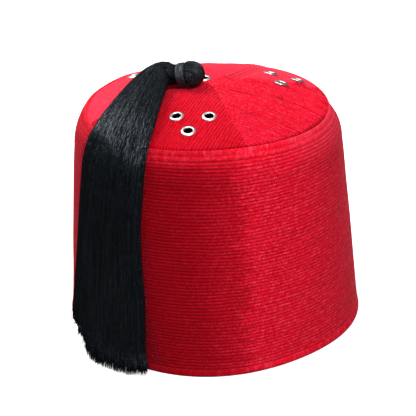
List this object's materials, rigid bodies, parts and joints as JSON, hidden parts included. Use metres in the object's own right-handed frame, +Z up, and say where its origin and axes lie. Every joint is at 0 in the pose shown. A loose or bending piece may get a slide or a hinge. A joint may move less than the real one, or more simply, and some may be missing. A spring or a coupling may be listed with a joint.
{
  "type": "fez hat with tassel",
  "caption": "Tall tapered fez of stitched red cloth with a domed crown, metal eyelets and a black thread tassel that falls over the side.",
  "frame": {"origin": "centre of the head opening, in the plane of the rim that the hat stands on", "axes": "+Z up along the hat's axis, -Y towards the front of the hat, +X to the right as seen from the front"},
  "size_m": [0.196, 0.1926, 0.1796],
  "materials": {
    "red_velvet": "quilted velvet with close stitched rows, matt with a soft sheen",
    "eyelet_metal": "polished silver-coloured plating",
    "black_thread": "glossy twisted silk-like thread",
    "black_lashing": "glossy black lashing of thread"
  },
  "bodies": {
    "root": {"side_wall": "red_velvet", "crown": "red_velvet", "eyelet_centre": "eyelet_metal", "eyelet_front_1": "eyelet_metal", "eyelet_front_2": "eyelet_metal", "eyelet_front_3": "eyelet_metal", "eyelet_right_1": "eyelet_metal", "eyelet_right_2": "eyelet_metal", "eyelet_right_3": "eyelet_metal", "eyelet_left_1": "eyelet_metal", "eyelet_left_2": "eyelet_metal", "eyelet_left_3": "eyelet_metal", "tassel_head": "black_thread", "tassel_neck_wrap": "black_lashing", "tassel_skirt": "black_thread", "tassel_hanging_loop": "black_thread"}
  },
  "joints": []
}
